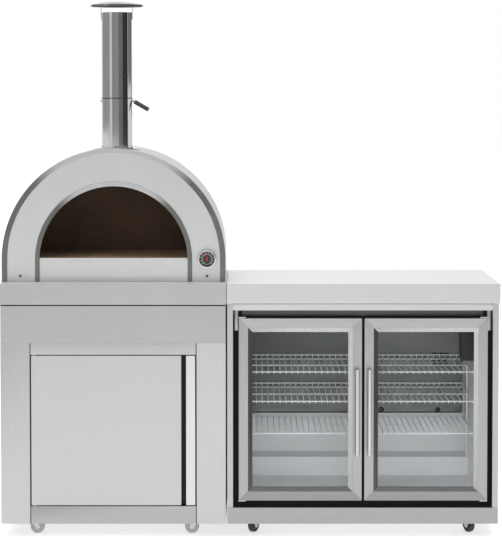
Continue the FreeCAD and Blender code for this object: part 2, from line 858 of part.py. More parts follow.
def through_back(radius):
    return rod(radius, V(gland_x, body_back - gland_depth, gland_z),
               V(gland_x, body_back + gland_depth, gland_z))


def condensing_unit():
    x = fridge_x + compressor_offset
    y = (bay_front + case_y1) / 2
    foot = box(x - foot_half[0], x + foot_half[0], y - foot_half[1], y + foot_half[1], pan_top, pan_top + 3)
    top = pan_top + compressor_height
    can = rod(compressor_radius, V(x, y, pan_top), V(x, y, top))
    rim = [e for e in can.Edges if len(e.Vertexes) == 1 and abs(e.CenterOfMass.z - top) < 0.01]
    compressor = fused([can.makeFillet(compressor_crown, rim), foot])
    long, deep, high = condenser_size
    left = fridge_x - condenser_offset
    core = box(left, left + long, y - deep / 2, y + deep / 2, pan_top, pan_top + high)
    gaps = []
    for number in range(int(long / condenser_pitch)):
        x0 = left + condenser_pitch * (number + 0.5)
        gaps.append(box(x0, x0 + condenser_pitch / 2, y - deep / 2 - 1, y + deep / 2 + 1,
                        pan_top + condenser_rim, pan_top + high - condenser_rim))
    return [compressor, core.cut(Part.makeCompound(gaps))]


def cord_gland():
    face = body_back + 3.0
    flange = rod(gland_radius + gland_flange, V(gland_x, body_back, gland_z), V(gland_x, face, gland_z))
    barrel = rod(gland_radius, V(gland_x, body_back - 6, gland_z), V(gland_x, face, gland_z))
    return fused([flange, barrel]).cut(through_back(cord_radius))


controller_setback = 110.0
controller_size = (48.0, 90.0, 150.0)


def controller_box():
    x1 = liner_x[1]
    y0 = case_y0 + controller_setback
    wide, deep, high = controller_size
    body = box(x1 - wide, x1, y0, y0 + deep, liner_top - high, liner_top)
    display = box(x1 - 40, x1 - 12, y0 - 1, y0 + 1.5, liner_top - 52, liner_top - 22)
    return body.cut(display)


# Shelves: welded wire decks with an upturned back rail, on ledges of chromed standards
shelf_front = case_y0 + mullion_depth + shelf_front_room
shelf_back = cover_front - shelf_back_room
standard_depth = 5.0
side_room = standard_depth + 1.0
shelf_columns = ((liner_x[0] + side_room, fridge_x - side_room),
                 (fridge_x + side_room, liner_x[1] - side_room))
ledge = 12.0
ledge_thickness = 3.0


def deck_wire(z):
    """One wire at x = 0: down at the front, along under the goods, and up at the back."""
    w = shelf_wire_radius
    bend = shelf_wire_bend
    deck = z + shelf_strip_half + shelf_weld_share * w
    foot = deck - shelf_front_drop
    top = z + shelf_back_rail
    front_bend = rounded_bend(w, V(0, shelf_front, deck - bend), bend)
    back_bend = rounded_bend(w, V(0, shelf_back, deck + bend), -bend)
    runs = [rod(w, V(0, shelf_front, foot), V(0, shelf_front, deck - bend)),
            rod(w, V(0, shelf_front + bend, deck), V(0, shelf_back - bend, deck)),
            rod(w, V(0, shelf_back, deck + bend), V(0, shelf_back, top))]
    return fused(runs + [front_bend, back_bend])


def rounded_bend(radius, start, bend):
    """A quarter turn of round wire from an upright start to the deck, bend along Y from it."""
    section = Part.Face(Part.Wire(Part.makeCircle(radius, start, V(0, 0, 1))))
    return section.revolve(start + V(0, bend, 0), V(-1, 0, 0), 90)


def wire_shelf(x0, x1, z):
    """Round wires and side rods, sunk a little into square cross bars where they are welded."""
    side = shelf_side_radius
    half = shelf_strip_half
    behind = shelf_front + shelf_wire_bend + half
    ahead = shelf_back - shelf_wire_bend - half
    rods = [rod(side, V(x, shelf_front, z), V(x, shelf_back, z)) for x in (x0 + side, x1 - side)]
    bars = [box(x0 + side, x1 - side, y - half, y + half, z - half, z + half)
            for y in (behind, (behind + ahead) / 2, ahead)]
    rail_top = z + shelf_back_rail - 1
    rail_y = shelf_back - shelf_weld_share * shelf_wire_radius
    bars.append(box(x0 + 2 * side, x1 - 2 * side, rail_y - 2 * half, rail_y, rail_top - 2 * half, rail_top))
    pitch = (x1 - x0 - 6 * side) / (shelf_wires - 1)
    wire = deck_wire(z)
    wires = []
    for number in range(shelf_wires):
        copy = wire.copy()
        copy.translate(V(x0 + 3 * side + number * pitch, 0, 0))
        wires.append(copy)
    return fused(rods + bars + wires)


def wire_shelves():
    shelves = []
    for x0, x1 in shelf_columns:
        first = wire_shelf(x0, x1, shelf_levels[0])
        for level in shelf_levels:
            shelf = first.copy()
            shelf.translate(V(0, 0, level - shelf_levels[0]))
            shelves.append(shelf)
    return shelves


def shelf_standards():
    standards = []
    for y in (shelf_front + 40, shelf_back - 60):
        foot = step_top if y + standard_width > step_y else liner_floor
        for wall, sides in ((liner_x[0], (1,)), (fridge_x, (-1, 1)), (liner_x[1], (-1,))):
            reach = [wall + side * standard_depth for side in sides] + [wall]
            strip = box(min(reach), max(reach), y, y + standard_width, foot, liner_top)
            pieces = [strip]
            for side in sides:
                x0, x1 = sorted((wall + side * standard_depth, wall + side * (standard_depth + ledge)))
                for level in shelf_levels:
                    top = level - shelf_side_radius
                    pieces.append(box(x0, x1, y, y + standard_width, top - ledge_thickness, top))
            standards.append(fused(pieces))
    return standards


# Glass doors: grooved frame, sealed double glazing, gasket, bar handle, pivots in brackets
door_front = body_front
door_back = door_front + door_depth
door_top = door_bottom + door_height
doors_span = 2 * door_width + door_gap
left_door = (fridge_x - doors_span / 2, fridge_x - door_gap / 2)
right_door = (fridge_x + door_gap / 2, fridge_x + doors_span / 2)
hinge_y = door_front + hinge_setback
left_hinge_x = left_door[0] + hinge_inset
right_hinge_x = right_door[1] - hinge_inset
hinge_pin_length = 16.0
bracket_thickness = 4.0
bracket_half = 13.0
handle_z = (door_bottom + door_top) / 2 - 7.0
glass_front = door_front + frame_lip
glass_back = glass_front + 2 * pane_thickness + spacer_thickness


def door_frame(span, hinge_x):
    frame = ring(span[0], span[1], door_front, door_back, door_bottom, door_top, frame_face)
    g = glass_groove
    groove = box(span[0] + g, span[1] - g, glass_front, glass_back + loose_fit, door_bottom + g, door_top - g)
    holes = [rod(pivot_radius + running_fit, V(hinge_x, hinge_y, z - 18), V(hinge_x, hinge_y, z + 18))
             for z in (door_bottom, door_top)]
    return frame.cut(groove).cut(Part.makeCompound(holes))


def door_glass(span):
    edge = glass_groove + loose_fit
    x0 = span[0] + edge
    x1 = span[1] - edge
    z0 = door_bottom + edge
    z1 = door_top - edge
    middle = glass_front + pane_thickness
    panes = [box(x0, x1, y, y + pane_thickness, z0, z1) for y in (glass_front, middle + spacer_thickness)]
    return panes + [ring(x0, x1, middle, middle + spacer_thickness, z0, z1, spacer_face - loose_fit)]


def door_gasket(span):
    i = gasket_inset
    return ring(span[0] + i, span[1] - i, door_back, case_y0 - seat_gap,
                door_bottom + i, door_top - i, gasket_width)


def door_handle(x):
    y = door_front - handle_standoff
    half = handle_length / 2
    bar = rod(handle_radius, V(x, y, handle_z - half), V(x, y, handle_z + half))
    posts = [rod(handle_radius - 2, V(x, y, z), V(x, door_front, z))
             for z in (handle_z - half + handle_post_inset, handle_z + half - handle_post_inset)]
    return fused([bar] + posts)


def door_hinge_brackets():
    brackets = []
    for x in (left_hinge_x, right_hinge_x):
        for edge, inward in ((door_bottom, 1), (door_top, -1)):
            near = edge - inward * seat_gap
            far = near - inward * bracket_thickness
            z0, z1 = sorted((near, far))
            plate = box(x - bracket_half, x + bracket_half, hinge_y - bracket_half, case_y0, z0, z1)
            tip = V(x, hinge_y, edge + inward * hinge_pin_length)
            brackets.append(fused([plate, rod(pivot_radius, V(x, hinge_y, far), tip)]))
    return brackets


def make_fridge():
    save("fridge_wrapper", [fridge_wrapper()])
    save("fridge_rails", fridge_rails())
    save("fridge_counter", [counter(fridge_left, fridge_right, fridge_apron)])
    save("fridge_plinth", [fridge_plinth()])
    save("fridge_case", fridge_case())
    save("fridge_liner", [fridge_liner()])
    save("evaporator_cover", evaporator_cover())
    save("evaporator_fan", [evaporator_fan()])
    save("fan_motor", [fan_motor()])
    save("condensing_unit", condensing_unit())
    save("cord_gland", [cord_gland()])
    save("controller_box", [controller_box()])
    save("wire_shelves", wire_shelves())
    save("shelf_standards", shelf_standards())
    save("door_hinge_brackets", door_hinge_brackets())
    for side, span, hinge_x, handle_x in (("left", left_door, left_hinge_x, left_door[1] - handle_inset),
                                          ("right", right_door, right_hinge_x, right_door[0] + handle_inset)):
        save(side + "_door_frame", [door_frame(span, hinge_x)])
        save(side + "_door_glass", door_glass(span))
        save(side + "_door_gasket", [door_gasket(span)])
        save(side + "_door_handle", [door_handle(handle_x)])


os.makedirs("parts", exist_ok=True)
make_casters()
save("floor_pans", [floor_pan(cart_body), floor_pan(fridge_body)])
make_cart()
make_oven()
make_fridge()
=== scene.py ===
"""Looks of a freestanding outdoor kitchen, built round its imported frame. Metres, +Z up."""
import bmesh
import bpy
from math import cos, pi, radians, sin, tau
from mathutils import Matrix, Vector


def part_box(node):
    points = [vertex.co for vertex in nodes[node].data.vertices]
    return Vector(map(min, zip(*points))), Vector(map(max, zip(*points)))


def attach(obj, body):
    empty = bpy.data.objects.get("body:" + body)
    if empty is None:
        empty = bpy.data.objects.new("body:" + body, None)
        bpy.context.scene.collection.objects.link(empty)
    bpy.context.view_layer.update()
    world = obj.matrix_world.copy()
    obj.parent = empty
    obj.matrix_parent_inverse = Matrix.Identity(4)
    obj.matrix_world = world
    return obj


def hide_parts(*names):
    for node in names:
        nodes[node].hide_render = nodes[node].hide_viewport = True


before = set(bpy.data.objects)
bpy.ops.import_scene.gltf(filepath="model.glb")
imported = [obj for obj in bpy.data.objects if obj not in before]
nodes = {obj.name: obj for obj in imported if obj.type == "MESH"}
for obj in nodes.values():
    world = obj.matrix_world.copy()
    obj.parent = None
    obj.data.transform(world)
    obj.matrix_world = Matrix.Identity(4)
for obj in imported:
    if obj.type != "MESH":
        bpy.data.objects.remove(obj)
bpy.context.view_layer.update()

# Casters: pressed and zinc-plated forks on bolted top plates, turning on a kingpin, with moulded
# wheels on plain axles. The cart has grey wheels, the fridge module black ones.


class Strand:
    """One socket of a material. Arithmetic on it adds Math nodes to that material."""

    def __init__(self, socket):
        self.socket = socket

    def node(self, kind, settings, inputs, output=0):
        made = self.socket.id_data.nodes.new("ShaderNode" + kind)
        for name, value in settings.items():
            setattr(made, name, value)
        for name, value in inputs.items():
            if isinstance(value, Strand):
                self.socket.id_data.links.new(value.socket, made.inputs[name])
            else:
                made.inputs[name].default_value = value
        return Strand(made.outputs[output])

    def math(self, operation, first, second=0.0, clamp=False):
        return self.node("Math", {"operation": operation, "use_clamp": clamp}, {0: first, 1: second})

    def __add__(self, other):
        return self.math("ADD", self, other)

    def __sub__(self, other):
        return self.math("SUBTRACT", self, other)

    def __rsub__(self, other):
        return self.math("SUBTRACT", other, self)

    def __mul__(self, other):
        return self.math("MULTIPLY", self, other)

    def __gt__(self, other):
        return self.math("GREATER_THAN", self, other)

    def __lt__(self, other):
        return self.math("LESS_THAN", self, other)

    def __abs__(self):
        return self.math("ABSOLUTE", self)

    __radd__ = __add__
    __rmul__ = __mul__


def new_finish(name, **constants):
    """A material with plain values on its shader: returns it, the shader and object coordinates."""
    material = bpy.data.materials.new(name)
    material.use_nodes = True
    shader = material.node_tree.nodes["Principled BSDF"]
    for socket, value in constants.items():
        shader.inputs[socket.replace("_", " ").title().replace("Ior", "IOR")].default_value = value
    place = material.node_tree.nodes.new("ShaderNodeTexCoord")
    return material, shader, Strand(place.outputs["Object"])


def feed(shader, **sources):
    """Joins strands to the shader's sockets."""
    for socket, source in sources.items():
        shader.id_data.links.new(source.socket, shader.inputs[socket.replace("_", " ").title()])


def streaks(place, scale, detail=3.0):
    """Noise from 0 to 1, drawn out by an uneven scale."""
    stretched = place.node("Mapping", {}, {"Vector": place, "Scale": scale})
    return place.node("TexNoise", {}, {"Vector": stretched, "Scale": 1.0, "Detail": detail, "Roughness": 0.6})


def between(amount, low, high):
    """A colour from low to high by an amount from 0 to 1. Each end is a plain colour or a strand."""
    ends = [end if isinstance(end, Strand) else (*end, 1.0) for end in (low, high)]
    return amount.node("Mix", {"data_type": "RGBA"}, {0: amount, 6: ends[0], 7: ends[1]}, 2)


def bumped(height, distance, strength=0.3):
    return height.node("Bump", {}, {"Height": height, "Distance": distance, "Strength": strength})


def zinc_plate():
    finish, shader, place = new_finish("zinc_plate", metallic=1.0)
    spangle = place.node("TexVoronoi", {}, {"Vector": place, "Scale": 160.0}, "Distance")
    cloud = streaks(place, (25.0, 25.0, 25.0))
    feed(shader, base_color=between(cloud, (0.46, 0.46, 0.45), (0.66, 0.66, 0.65)),
         roughness=0.26 + 0.2 * cloud + 0.1 * spangle, normal=bumped(spangle, 0.0002))
    return finish


def moulded_plastic(name, low, high, sheen):
    finish, shader, place = new_finish(name)
    pores = streaks(place, (1800.0, 1800.0, 1800.0), 2.0)
    scuffs = streaks(place, (60.0, 60.0, 60.0), 6.0)
    feed(shader, base_color=between(scuffs, low, high), roughness=sheen + 0.25 * scuffs,
         normal=bumped(pores, 0.0002))
    return finish


def dress(node, finish, edge):
    """Gives a CAD node its finish, welds its faces for smooth shading and eases its edges."""
    piece = nodes[node]
    piece.data.materials.clear()
    piece.data.materials.append(finish)
    piece.data.polygons.foreach_set("use_smooth", [True] * len(piece.data.polygons))
    weld = piece.modifiers.new("weld", "WELD")
    weld.merge_threshold = 0.00001
    flat = piece.modifiers.new("flat", "DECIMATE")
    flat.decimate_type = "DISSOLVE"
    flat.angle_limit = radians(0.4)
    eased = piece.modifiers.new("edge", "BEVEL")
    eased.width = edge
    eased.segments = 2
    eased.limit_method = "ANGLE"
    eased.angle_limit = radians(35)
    crisp = piece.modifiers.new("crisp", "EDGE_SPLIT")
    crisp.split_angle = radians(20)


fork_edge = 0.0004
wheel_edge = 0.0006
zinc = zinc_plate()
grey_wheel = moulded_plastic("grey_wheel", (0.42, 0.42, 0.42), (0.62, 0.62, 0.61), 0.35)
black_wheel = moulded_plastic("black_wheel", (0.012, 0.012, 0.013), (0.05, 0.05, 0.05), 0.3)
dress("caster_mounts", zinc, fork_edge)
for module, wheel in (("cart", grey_wheel), ("fridge", black_wheel)):
    for side in ("left", "right"):
        dress(f"caster_fork_{module}_{side}", zinc, fork_edge)
        dress(f"caster_wheel_front_{module}_{side}", wheel, wheel_edge)
        dress(f"caster_wheel_rear_{module}_{side}", wheel, wheel_edge)

# Sheet steel of both cabinets: stainless folded on a press brake, its faces brushed in one direction.
# The floor pans, wrappers, posts, rails and counters are welded and screwed together.

across_grain = (6.0, 6.0, 420.0)
upright_grain = (420.0, 420.0, 6.0)
broad_cloud = (2.2, 2.2, 2.2)


def coordinate(place, axis):
    """X, Y or Z of a place or a direction."""
    return place.node("SeparateXYZ", {}, {0: place}, axis)


def greyed(tone):
    return (tone, tone, tone * 1.01)


def steel_tone(shade, tone, dark=0.86, light=1.13):
    """Grey steel that varies round a tone."""
    return between(shade, greyed(tone * dark), greyed(tone * light))


def brush_marks(strokes):
    return bumped(strokes, 0.0003, 0.12)


def brushed_sheet(name, tone, grain, rough=0.4):
    """Stainless with a brushed grain; the scale in grain is small along the strokes."""
    finish, shader, place = new_finish(name, metallic=1.0)
    strokes = streaks(place, grain)
    fine = streaks(place, tuple(3.1 * g for g in grain), 2.0)
    cloud = streaks(place, broad_cloud, 2.0)
    feed(shader, base_color=steel_tone(0.5 * strokes + 0.2 * fine + 0.3 * cloud, tone),
         roughness=rough - 0.06 + 0.16 * strokes + 0.06 * cloud,
         normal=brush_marks(0.7 * strokes + 0.3 * fine))
    return finish


def counter_finish(name, apron_tone, top_tone):
    """Brushed along the counter; faces that turn up are painted brighter and less metallic: a painted
    reflection.
    """
    finish, shader, place = new_finish(name, metallic=1.0)
    strokes = streaks(place, across_grain)
    cloud = streaks(place, broad_cloud, 2.0)
    upward = coordinate(place.node("NewGeometry", {}, {}, "Normal"), "Z")
    # Painted reflection: faces turned up get the lighter top tone and less metal than the apron.
    painted_top_sheen = place.math("MULTIPLY", upward, 1.0, clamp=True)
    shade = 0.7 * strokes + 0.3 * cloud
    tone = between(painted_top_sheen, steel_tone(shade, apron_tone), steel_tone(shade, top_tone, 0.94, 1.06))
    feed(shader, base_color=tone, metallic=1 - 0.3 * painted_top_sheen, roughness=0.34 + 0.16 * strokes + 0.06 * cloud,
         normal=brush_marks(strokes))
    return finish


def face_frame_finish(middle, half):
    """Posts brushed upright and the rails between them brushed across and painted darker as painted shade,
    with a dark seam where they meet.
    """
    finish, shader, place = new_finish("face_frame_steel", metallic=1.0)
    away = abs(coordinate(place, "X") - middle)
    post = away > half
    strokes = post * streaks(place, upright_grain) + (1 - post) * streaks(place, across_grain)
    # Painted shade: the rails get a darker steel than the posts.
    rail_painted_shade = between(strokes, greyed(0.35), greyed(0.44))
    tone = between(post, rail_painted_shade, between(strokes, greyed(0.44), greyed(0.55)))
    seam = abs(away - half) < seam_reach
    feed(shader, base_color=between(0.8 * seam, tone, (0.04, 0.04, 0.04)), roughness=0.34 + 0.18 * strokes,
         normal=brush_marks(strokes))
    return finish


def rails_finish(upper_from, lower_tone, upper_tone):
    """Brushed along the rails, with the strip under the counter painted brighter and the base rail painted
    darker: painted light and shade.
    """
    finish, shader, place = new_finish("fridge_rail_steel", metallic=1.0)
    strokes = streaks(place, across_grain)
    # Painted light and shade: above upper_from the strip gets a lighter steel, the base rail below a darker
    # one.
    upper = coordinate(place, "Z") > upper_from
    base, top = (steel_tone(strokes, tone, 0.88, 1.12) for tone in (lower_tone, upper_tone))
    feed(shader, base_color=between(upper, base, top), roughness=0.34 + 0.18 * strokes,
         normal=brush_marks(strokes))
    return finish


sheet_edge = 0.0007
counter_edge = 0.0012
post_width = 0.103
seam_reach = 0.002
panel_steel = brushed_sheet("panel_steel", 0.55, upright_grain)
rail_steel = brushed_sheet("rail_steel", 0.42, across_grain)
dress("floor_pans", panel_steel, sheet_edge)
dress("cart_wrapper", panel_steel, sheet_edge)
frame_low, frame_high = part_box("cart_face_frame")
rail_half = (frame_high.x - frame_low.x) / 2 - post_width
dress("cart_face_frame", face_frame_finish((frame_low.x + frame_high.x) / 2, rail_half), sheet_edge)
dress("cart_fascia", rail_steel, sheet_edge)
dress("cart_counter", counter_finish("cart_counter_steel", 0.44, 0.86), counter_edge)
dress("fridge_wrapper", brushed_sheet("fridge_panel_steel", 0.45, upright_grain), sheet_edge)
dress("fridge_rails", rails_finish(0.5, 0.36, 0.56), sheet_edge)
dress("fridge_counter", counter_finish("fridge_counter_steel", 0.57, 0.8), counter_edge)

# Cart door: a stainless skin with hemmed edges on two pivot pins. Its right edge stops short of a
# folded strip, so the gap between them is a finger slot from top to bottom.


def pull_finish(face_y):
    """Brushed steel on the strip, with near-black painted shade in the channel behind it."""
    finish, shader, place = new_finish("pull_finish", metallic=1.0)
    strokes = streaks(place, upright_grain)
    # Painted shade: the recessed channel behind the strip face is coloured near black.
    shaded_channel = coordinate(place, "Y") > face_y + strip_depth
    steel = between(strokes, greyed(0.54), greyed(0.66))
    dark = between(strokes, (0.02, 0.016, 0.012), (0.05, 0.042, 0.034))
    feed(shader, base_color=between(shaded_channel, steel, dark), roughness=0.34 + 0.14 * strokes + 0.15 * shaded_channel)
    return finish


strip_depth = 0.003
door_steel = brushed_sheet("door_steel", 0.49, upright_grain, 0.38)
pin_steel = brushed_sheet("pin_steel", 0.55, (900.0, 900.0, 900.0), 0.25)
dress("cart_door", door_steel, sheet_edge)
dress("cart_door_pull", pull_finish(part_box("cart_door_pull")[0].y), sheet_edge)
dress("cart_door_hardware", pin_steel, 0.0004)

# Oven body: a rolled stainless arch over a base pan, closed by a flat face with a round-topped mouth.
# The two edge bands are rolled strips with a darker satin finish, the sill is a folded plate.


def satin_band(centre_x, centre_z):
    """Dark satin strips, painted lighter over the crown of the arch as a painted reflection."""
    finish, shader, place = new_finish("satin_band", metallic=1.0)
    strokes = streaks(place, (9.0, 500.0, 9.0))
    shade = 0.6 * strokes + 0.4 * streaks(place, (14.0, 14.0, 14.0))
    across = coordinate(place, "X") - centre_x
    rise = coordinate(place, "Z") - centre_z
    steep = place.math("DIVIDE", rise, place.math("SQRT", across * across + rise * rise))
    # Painted reflection: the band is painted lighter where it runs over the crown of the arch.
    crown_reflection = place.node("MapRange", {"interpolation_type": "SMOOTHSTEP"},
                       {"Value": steep, "From Min": 0.68, "From Max": 0.9})
    dark = between(shade, (0.11, 0.11, 0.1), (0.22, 0.22, 0.2))
    feed(shader, base_color=between(crown_reflection, dark, between(shade, greyed(0.48), greyed(0.64))),
         roughness=0.24 + 0.2 * strokes, normal=bumped(strokes, 0.0003, 0.15))
    return finish


oven_edge = 0.0005
shell_low, shell_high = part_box("outer_shell")
arch_x = (shell_low.x + shell_high.x) / 2
arch_radius = (shell_high.x - shell_low.x) / 2
arch_z = shell_high.z - arch_radius
# Painted reflection: the base pan gets a lighter steel than the other sheet, for the bright strip it shows.
dress("oven_base_pan", brushed_sheet("base_pan_steel", 0.72, across_grain), sheet_edge)
dress("outer_shell", brushed_sheet("arch_steel", 0.55, (40.0, 420.0, 40.0), 0.3), oven_edge)
dress("oven_front_panel", brushed_sheet("face_steel", 0.57, upright_grain, 0.42), oven_edge)
dress("arch_trims", satin_band(arch_x, arch_z), 0.0008)
dress("mouth_sill", brushed_sheet("sill_steel", 0.57, across_grain, 0.35), sheet_edge)

# Inside of the oven: a stainless vault blackened by smoke over six cut firebrick tiles, wrapped in a
# mineral-fibre blanket that lies on a board of the same stuff.


def smoked_vault():
    finish, shader, place = new_finish("smoked_vault", metallic=0.6)
    soot = streaks(place, (7.0, 7.0, 7.0), 8.0)
    grit = streaks(place, (260.0, 260.0, 260.0), 3.0)
    feed(shader, base_color=between(soot, (0.02, 0.014, 0.01), (0.2, 0.13, 0.085)),
         roughness=0.5 + 0.4 * soot, normal=bumped(grit, 0.0006, 0.5))
    return finish


def firebrick():
    finish, shader, place = new_finish("firebrick")
    grain = streaks(place, (420.0, 420.0, 420.0), 6.0)
    cloud = streaks(place, (9.0, 9.0, 9.0), 5.0)
    clay = between(grain, (0.5, 0.34, 0.2), (0.74, 0.56, 0.38))
    burnt = place.node("Mix", {"data_type": "RGBA", "blend_type": "MULTIPLY"},
                       {0: 0.7 * cloud, 6: clay, 7: (0.3, 0.22, 0.17, 1.0)}, 2)
    feed(shader, base_color=burnt, roughness=0.75 + 0.2 * grain, normal=bumped(grain, 0.001, 0.5))
    return finish


def fibre_blanket():
    finish, shader, place = new_finish("fibre_blanket", sheen_weight=0.3)
    felt = streaks(place, (300.0, 90.0, 300.0), 8.0)
    feed(shader, base_color=between(felt, (0.62, 0.6, 0.54), (0.84, 0.82, 0.77)),
         roughness=0.85 + 0.12 * felt, normal=bumped(felt, 0.002, 0.6))
    return finish


dress("inner_dome", smoked_vault(), oven_edge)
dress("hearth_tiles", firebrick(), 0.0012)
dress("dome_insulation", fibre_blanket(), 0.003)

# Thermometer: a turned stainless bezel over a black dial, with a flat lens and a red pointer. The
# scale is printed on the dial: a fine ring and strokes all round it.


def hardware_finish(name, low, high, rough):
    finish, shader, place = new_finish(name, metallic=1.0)
    wipe = streaks(place, (70.0, 70.0, 70.0), 4.0)
    feed(shader, base_color=between(wipe, low, high), roughness=rough + 0.12 * wipe)
    return finish


def ray(strand, kind):
    """1 for one kind of ray, and 0 for the rest."""
    return strand.node("LightPath", {}, {}, f"Is {kind} Ray")


def see_through(name, most):
    """Thin clear glass: see-through from straight ahead and a mirror at a glancing angle."""
    finish, shader, place = new_finish(name, base_color=(0.05, 0.05, 0.05, 1.0), specular_ior_level=1.0)
    smear = streaks(place, (5.0, 5.0, 2.0), 4.0)
    feed(shader, roughness=0.02 + 0.05 * smear)
    clear = place.node("BsdfTransparent", {}, {"Color": (0.99, 0.995, 0.995, 1.0)})
    edge_on = place.node("LayerWeight", {}, {"Blend": 0.25}, "Fresnel")
    outside = 1 - place.node("NewGeometry", {}, {}, "Backfacing")
    mirrored = most * edge_on * (1 - (ray(place, "Shadow") + ray(place, "Diffuse"))) * outside
    mixed = place.node("MixShader", {}, {0: mirrored, 1: clear, 2: Strand(shader.outputs[0])})
    tree = finish.node_tree
    tree.links.new(mixed.socket, tree.nodes["Material Output"].inputs["Surface"])
    return finish


def copies_tree():
    """Sets copies of a shape on the vertices of a mesh, each turned by the attribute called turn."""
    tree = bpy.data.node_groups.new("copies", "GeometryNodeTree")
    for name, kind in (("Spots", "Geometry"), ("Shape", "Object"), ("Size", "Float"), ("Finish", "Material")):
        tree.interface.new_socket(name, in_out="INPUT", socket_type="NodeSocket" + kind)
    tree.interface.new_socket("Mesh", in_out="OUTPUT", socket_type="NodeSocketGeometry")
    given = tree.nodes.new("NodeGroupInput")
    shape = tree.nodes.new("GeometryNodeObjectInfo")
    turn = tree.nodes.new("GeometryNodeInputNamedAttribute")
    turn.data_type = "FLOAT_VECTOR"
    turn.inputs["Name"].default_value = "turn"
    setting = tree.nodes.new("GeometryNodeInstanceOnPoints")
    real = tree.nodes.new("GeometryNodeRealizeInstances")
    coat = tree.nodes.new("GeometryNodeSetMaterial")
    result = tree.nodes.new("NodeGroupOutput")
    for start, end in ((given.outputs["Spots"], setting.inputs["Points"]),
                       (given.outputs["Shape"], shape.inputs["Object"]),
                       (shape.outputs["Geometry"], setting.inputs["Instance"]),
                       (turn.outputs["Attribute"], setting.inputs["Rotation"]),
                       (given.outputs["Size"], setting.inputs["Scale"]),
                       (setting.outputs["Instances"], real.inputs["Geometry"]),
                       (real.outputs["Geometry"], coat.inputs["Geometry"]),
                       (given.outputs["Finish"], coat.inputs["Material"]),
                       (coat.outputs["Geometry"], result.inputs["Mesh"])):
        tree.links.new(start, end)
    return tree


def grown(name, mesh, tree, **values):
    """Runs a node tree on a mesh and returns its result as a plain mesh object."""
    seed = bpy.data.objects.new(name, mesh)
    bpy.context.scene.collection.objects.link(seed)
    modifier = seed.modifiers.new("grow", "NODES")
    modifier.node_group = tree
    for item in tree.interface.items_tree:
        if item.in_out == "INPUT" and item.name.lower() in values:
            modifier[item.identifier] = values[item.name.lower()]
    bpy.context.view_layer.update()
    plain = bpy.data.meshes.new_from_object(seed.evaluated_get(bpy.context.evaluated_depsgraph_get()))
    seed.modifiers.remove(modifier)
    seed.data = plain
    return seed


def spots_mesh(spots):
    """Vertices at the places, with the turn that each copy gets."""
    mesh = bpy.data.meshes.new("spots")
    mesh.from_pydata([place for place, turn in spots], [], [])
    turns = mesh.attributes.new("turn", "FLOAT_VECTOR", "POINT")
    turns.data.foreach_set("vector", [angle for place, turn in spots for angle in turn])
    return mesh


def set_copies(name, shape_mesh, spots, finish, body):
    """Sets copies of a shape at the spots, as one piece that rides on a body."""
    shape = bpy.data.objects.new(name + "_shape", shape_mesh)
    piece = grown(name, spots_mesh(spots), copies, shape=shape, size=1.0, finish=finish)
    bpy.data.objects.remove(shape)
    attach(piece, body)
    return piece


def smoothed(work, mesh, crease):
    """Puts the work into a mesh, smooth but for edges sharper than the crease."""
    work.to_mesh(mesh)
    work.free()
    mesh.shade_smooth()
    mesh.set_sharp_from_angle(angle=radians(crease))
    return mesh


def turned(profile, steps):
    """A closed mesh turned about Y from (radius, y) points that meet, or start and end on the axis."""
    angles = [tau * i / steps for i in range(steps)]
    points = [(r * cos(angle), y, r * sin(angle)) for r, y in profile for angle in angles]
    faces = []
    for start in range(0, len(points) - steps, steps):
        for i in range(steps):
            j = (i + 1) % steps
            faces.append((start + i, start + j, start + steps + j, start + steps + i))
    mesh = bpy.data.meshes.new("turned")
    mesh.from_pydata(points, [], faces)
    work = bmesh.new()
    work.from_mesh(mesh)
    bmesh.ops.remove_doubles(work, verts=work.verts, dist=1e-6)
    bmesh.ops.recalc_face_normals(work, faces=work.faces)
    return smoothed(work, mesh, 35)


def block(x0, x1, y0, y1, z0, z1, edge):
    """A block with eased edges."""
    work = bmesh.new()
    bmesh.ops.create_cube(work, size=1.0)
    for corner in work.verts:
        corner.co = ((x0 + x1) / 2 + corner.co.x * (x1 - x0), (y0 + y1) / 2 + corner.co.y * (y1 - y0),
                     (z0 + z1) / 2 + corner.co.z * (z1 - z0))
    bmesh.ops.bevel(work, geom=work.edges[:], offset=edge, segments=2, profile=0.5, affect="EDGES")
    return smoothed(work, bpy.data.meshes.new("block"), 50)


def washer(inner, outer, thickness):
    """The profile of a flat ring, for turning."""
    return [(inner, 0.0), (outer, 0.0), (outer, -thickness), (inner, -thickness), (inner, 0.0)]


copies = copies_tree()
unturned = (0, 0, 0)
dial_depth = 0.008
dial_sheet = 0.0003
ink = 0.0001
dial_steps = 72
dial_black = moulded_plastic("dial_black", (0.006, 0.006, 0.007), (0.02, 0.02, 0.02), 0.35)
dial_print = moulded_plastic("dial_print", (0.34, 0.34, 0.33), (0.48, 0.48, 0.46), 0.5)
needle_red = moulded_plastic("needle_red", (0.45, 0.01, 0.008), (0.62, 0.03, 0.02), 0.35)
dress("thermometer_case", hardware_finish("bezel_steel", (0.56, 0.56, 0.55), (0.74, 0.74, 0.73), 0.1), 0.0004)
dress("thermometer_lens", see_through("dial_lens", 0.6), 0.0003)
dress("thermometer_needle", needle_red, 0.0002)
bezel_low, bezel_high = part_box("thermometer_case")
dial_centre = (bezel_low + bezel_high) / 2
dial_centre.y = bezel_low.y + dial_depth
printed = dial_centre - Vector((0, dial_sheet, 0))
for name, profile, place, finish, slot in (
        ("dial_face", washer(0.002, 0.0266, dial_sheet), dial_centre, dial_black, "black_plastic"),
        ("dial_ring", washer(0.0172, 0.0187, ink), printed, dial_print, "grey_wheel")):
    set_copies(name, turned(profile, dial_steps), [(place, unturned)], finish, "cabinet")
